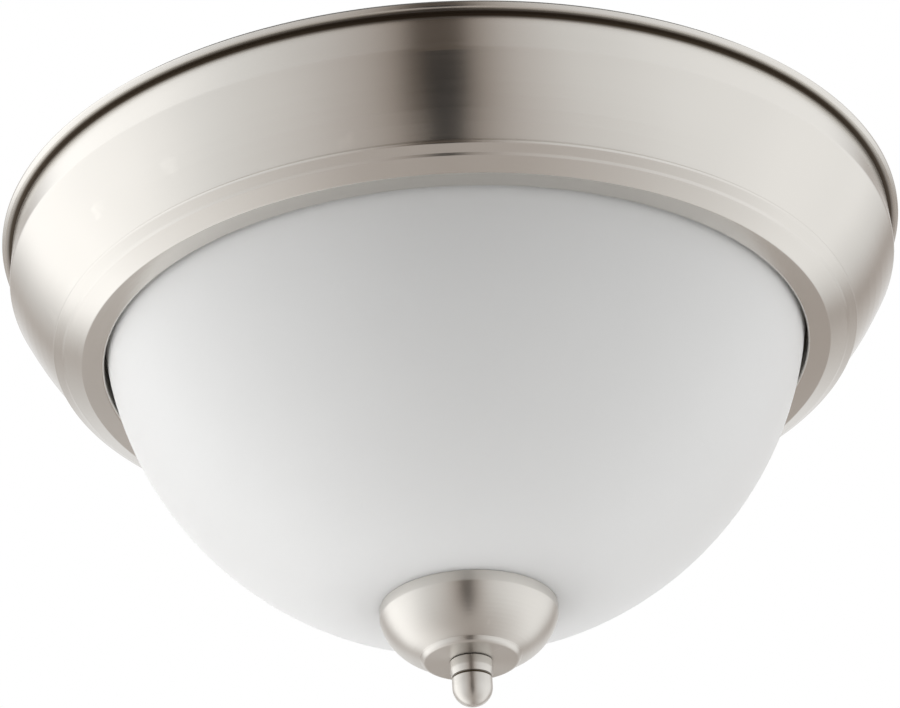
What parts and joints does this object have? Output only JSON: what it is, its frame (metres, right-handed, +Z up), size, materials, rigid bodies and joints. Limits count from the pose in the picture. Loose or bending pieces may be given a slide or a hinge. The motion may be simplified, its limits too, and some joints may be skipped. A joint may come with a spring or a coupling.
{
  "type": "ceiling light",
  "caption": "Flush ceiling light: a stepped satin nickel pan holds an opal glass bowl, drawn up by a centre rod with a cap and finial over lamps lying level inside.",
  "frame": {"origin": "centre of the ceiling plane, which is also the centre of the crossbar's upper face and of its slots", "axes": "+Z up, out of the ceiling side; +X along the crossbar; the pictured side is -Y"},
  "size_m": [0.3368, 0.3368, 0.1883],
  "materials": {
    "brushed_nickel": "satin nickel, fine brushed rings",
    "opal_glass": "satin opal white",
    "zinc_steel": "bright zinc plate",
    "green_steel": "green dye on steel",
    "holder_brass": "plain rolled brass",
    "porcelain": "glossy white glaze",
    "frosted_glass": "inside-frosted white",
    "lamp_aluminium": "rolled shell",
    "black_insulator": "black glass",
    "grommet_rubber": "pale soft rubber",
    "bushing_nylon": "black nylon",
    "glass_fibre": "pale yellow glass-fibre felt",
    "white_lead": "smooth insulation",
    "black_lead": "smooth insulation"
  },
  "bodies": {
    "fixture": {"ceiling_pan": "brushed_nickel", "crossbar": "zinc_steel", "canopy_screws": "zinc_steel", "canopy_nuts": "zinc_steel", "ground_screw": "green_steel", "insulation_pad": "glass_fibre", "rod_strap": "zinc_steel", "strap_screws": "zinc_steel", "center_rod": "zinc_steel", "rod_nut_upper": "zinc_steel", "rod_lock_washer": "zinc_steel", "rod_nut_lower": "zinc_steel", "lead_bushing": "bushing_nylon", "bracket_rivets": "zinc_steel", "holder_screws": "zinc_steel", "wire_screws": "holder_brass", "lamp_holder_1": "porcelain", "lamp_holder_2": "porcelain", "holder_shell_1": "holder_brass", "holder_shell_2": "holder_brass", "holder_contact_1": "holder_brass", "holder_contact_2": "holder_brass", "holder_bracket_1": "zinc_steel", "holder_bracket_2": "zinc_steel", "lead_white_1": "white_lead", "lead_white_2": "white_lead", "lead_black_1": "black_lead", "lead_black_2": "black_lead"},
    "shade": {"glass_bowl": "opal_glass", "glass_grommet": "grommet_rubber", "cap": "brushed_nickel"},
    "finial": {"finial": "brushed_nickel"},
    "lamp_1": {"lamp_1_envelope": "frosted_glass", "lamp_1_screw_base": "lamp_aluminium", "lamp_1_insulator": "black_insulator", "lamp_1_tip": "lamp_aluminium"},
    "lamp_2": {"lamp_2_envelope": "frosted_glass", "lamp_2_screw_base": "lamp_aluminium", "lamp_2_insulator": "black_insulator", "lamp_2_tip": "lamp_aluminium"}
  },
  "joints": [
    {"name": "shade_drop", "type": "slide", "parent": "fixture", "child": "shade", "axis": [0, 0, -1], "range_m": [0, 0.12]},
    {"name": "finial_turn", "type": "hinge", "parent": "shade", "child": "finial", "pos_m": [0, 0, -0.175], "axis": [0, 0, 1], "continuous": true},
    {"name": "lamp_1_turn", "type": "hinge", "parent": "fixture", "child": "lamp_1", "pos_m": [-0.05, 0.042, -0.058], "axis": [1, 0, 0], "continuous": true},
    {"name": "lamp_2_turn", "type": "hinge", "parent": "fixture", "child": "lamp_2", "pos_m": [0.05, -0.042, -0.058], "axis": [-1, 0, 0], "continuous": true}
  ]
}
